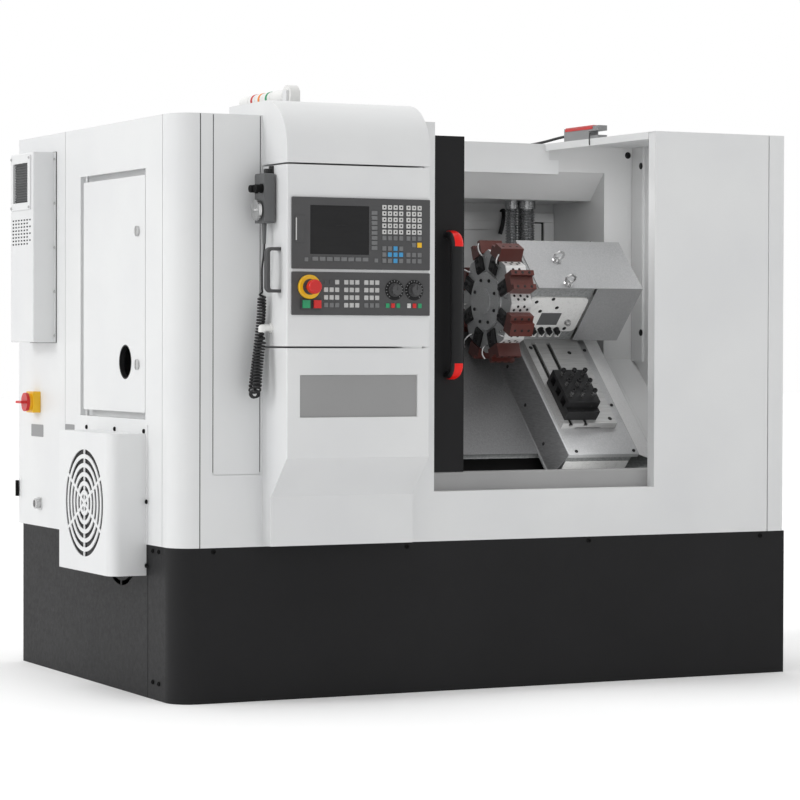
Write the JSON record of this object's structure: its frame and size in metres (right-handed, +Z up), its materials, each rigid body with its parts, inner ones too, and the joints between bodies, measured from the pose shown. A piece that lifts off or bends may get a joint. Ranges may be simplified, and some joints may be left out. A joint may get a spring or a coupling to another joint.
{
  "type": "cnc turning lathe",
  "caption": "Slant-bed turning lathe in a sheet-metal enclosure with a sliding front door, chuck, tool turret, slotted cross slide, swing-out operator box, hand pendant and rear cabinet.",
  "frame": {"origin": "on the floor, below the centre of the machine's outline", "axes": "+X along the spindle towards the turret end, +Y to the back, +Z up"},
  "size_m": [2.128, 1.554, 1.766],
  "materials": {
    "panel_paint": "satin",
    "charcoal_paint": "satin",
    "casting": "painted casting",
    "machined_steel": "machined",
    "sheet_steel": "brushed",
    "black_steel": "black oxide",
    "brown_holder": "satin",
    "white_paint": "gloss",
    "motor_paint": "satin",
    "faceplate_grey": "matte",
    "black_plastic": "matte",
    "grey_plastic": "matte",
    "white_plastic": "matte",
    "red_plastic": "gloss",
    "green_plastic": "gloss",
    "yellow_plastic": "gloss",
    "screen_glass": "gloss",
    "window_glass": "clear",
    "cord_rubber": "matte",
    "belt_rubber": "matte",
    "latch_metal": "polished"
  },
  "bodies": {
    "machine": {"base_skirt": "charcoal_paint", "bed_casting": "casting", "headstock": "casting", "spindle_motor": "motor_paint", "drive_belt": "belt_rubber", "front_left_panel": "panel_paint", "access_panel": "panel_paint", "front_panel": "panel_paint", "right_side_panel": "panel_paint", "rear_panel": "panel_paint", "roof_panel": "panel_paint", "left_side_panel": "panel_paint", "electrical_cabinet": "panel_paint", "cabinet_cooler": "panel_paint", "fan_box": "panel_paint", "main_switch_base": "yellow_plastic", "console_lower": "panel_paint", "console_hood": "panel_paint", "work_area_liner": "white_paint", "cable_conduits": "black_plastic", "door_track": "sheet_steel", "interlock_switch": "grey_plastic"},
    "side_door_leaf": {"side_door": "panel_paint"},
    "upper_latch": {"side_latch_upper": "latch_metal"},
    "lower_latch": {"side_latch_lower": "latch_metal"},
    "cabinet_door": {"cabinet_rear_door": "panel_paint"},
    "switch_lever": {"main_switch_handle": "red_plastic"},
    "spindle_line": {"spindle": "machined_steel", "chuck": "machined_steel"},
    "motor_shaft": {"motor_pulley": "casting"},
    "carriage": {"saddle": "casting", "way_cover": "sheet_steel"},
    "cross_slide": {"slotted_table": "machined_steel", "gang_tool_block": "black_steel", "turret_housing": "white_paint", "turret_cover": "white_paint"},
    "turret": {"turret_disc": "machined_steel", "tool_holders": "brown_holder", "tool_clamps": "black_steel"},
    "front_door": {"door_panel": "charcoal_paint", "door_window": "window_glass", "door_wing": "panel_paint", "door_handle": "black_plastic", "handle_caps": "red_plastic"},
    "operator_box": {"control_box": "panel_paint", "screen_panel": "faceplate_grey", "display_screen": "screen_glass", "key_panel": "faceplate_grey", "grab_handle": "black_plastic", "pendant_body": "grey_plastic", "cord_gland": "white_plastic", "pendant_lead": "cord_rubber", "curly_cord": "cord_rubber"},
    "stop_mushroom": {"estop_button": "red_plastic"},
    "start_cap": {"start_button": "green_plastic"},
    "stop_cap": {"stop_button": "red_plastic"},
    "feed_knob": {"feed_dial": "black_plastic"},
    "speed_knob": {"speed_dial": "black_plastic"},
    "pendant_wheel": {"handwheel": "black_plastic"},
    "signal_lamp": {"tower_lamp": "white_plastic"}
  },
  "joints": [
    {"name": "front_door_slide", "type": "slide", "parent": "machine", "child": "front_door", "axis": [1, 0, 0], "range_m": [0, 0.62]},
    {"name": "spindle_spin", "type": "hinge", "parent": "machine", "child": "spindle_line", "pos_m": [-0.454, -0.166, 0.954], "axis": [1, 0, 0], "continuous": true},
    {"name": "motor_spin", "type": "hinge", "parent": "machine", "child": "motor_shaft", "pos_m": [-0.754, -0.123, 0.546], "axis": [1, 0, 0], "continuous": true},
    {"name": "carriage_slide", "type": "slide", "parent": "machine", "child": "carriage", "axis": [1, 0, 0], "range_m": [-0.29, 0.02]},
    {"name": "cross_slide_feed", "type": "slide", "parent": "carriage", "child": "cross_slide", "axis": [0, 0.7071, 0.7071], "range_m": [-0.075, 0.06]},
    {"name": "turret_index", "type": "hinge", "parent": "cross_slide", "child": "turret", "pos_m": [0.366, 0.02209, 1.14209], "axis": [1, 0, 0], "continuous": true},
    {"name": "operator_box_swing", "type": "hinge", "parent": "machine", "child": "operator_box", "pos_m": [-0.26, -0.71, 1.253], "axis": [0, 0, 1], "range_deg": [0, 85]},
    {"name": "estop_press", "type": "slide", "parent": "operator_box", "child": "stop_mushroom", "axis": [0, 1, 0], "range_m": [0, 0.006], "stiffness_N_per_m": 800},
    {"name": "start_press", "type": "slide", "parent": "operator_box", "child": "start_cap", "axis": [0, 1, 0], "range_m": [0, 0.003], "stiffness_N_per_m": 500},
    {"name": "stop_press", "type": "slide", "parent": "operator_box", "child": "stop_cap", "axis": [0, 1, 0], "range_m": [0, 0.003], "stiffness_N_per_m": 500},
    {"name": "feed_dial_turn", "type": "hinge", "parent": "operator_box", "child": "feed_knob", "pos_m": [-0.363, -0.737, 1.16], "axis": [0, -1, 0], "range_deg": [-135, 135]},
    {"name": "speed_dial_turn", "type": "hinge", "parent": "operator_box", "child": "speed_knob", "pos_m": [-0.301, -0.737, 1.16], "axis": [0, -1, 0], "range_deg": [-135, 135]},
    {"name": "handwheel_turn", "type": "hinge", "parent": "operator_box", "child": "pendant_wheel", "pos_m": [-0.736, -0.6185, 1.38], "axis": [1, 0, 0], "continuous": true},
    {"name": "main_switch_turn", "type": "hinge", "parent": "machine", "child": "switch_lever", "pos_m": [-0.994, 0.6, 0.823], "axis": [-1, 0, 0], "range_deg": [0, 90]},
    {"name": "side_door_swing", "type": "hinge", "parent": "machine", "child": "side_door_leaf", "pos_m": [-0.946, 0.173, 1.1485], "axis": [0, 0, -1], "range_deg": [0, 100]},
    {"name": "upper_latch_turn", "type": "hinge", "parent": "side_door_leaf", "child": "upper_latch", "pos_m": [-0.939, -0.265, 1.329], "axis": [1, 0, 0], "range_deg": [0, 90]},
    {"name": "lower_latch_turn", "type": "hinge", "parent": "side_door_leaf", "child": "lower_latch", "pos_m": [-0.939, -0.265, 0.947], "axis": [1, 0, 0], "range_deg": [0, 90]},
    {"name": "cabinet_door_swing", "type": "hinge", "parent": "machine", "child": "cabinet_door", "pos_m": [-0.9605, 0.772, 1.043], "axis": [0, 0, 1], "range_deg": [0, 120]},
    {"name": "signal_lamp_fold", "type": "hinge", "parent": "machine", "child": "signal_lamp", "pos_m": [-0.471, -0.258, 1.736], "axis": [1, 0, 0], "range_deg": [0, 90]}
  ],
  "couplings": [
    {"joint": "motor_spin", "follows": "spindle_spin", "ratio": 1.5263}
  ]
}
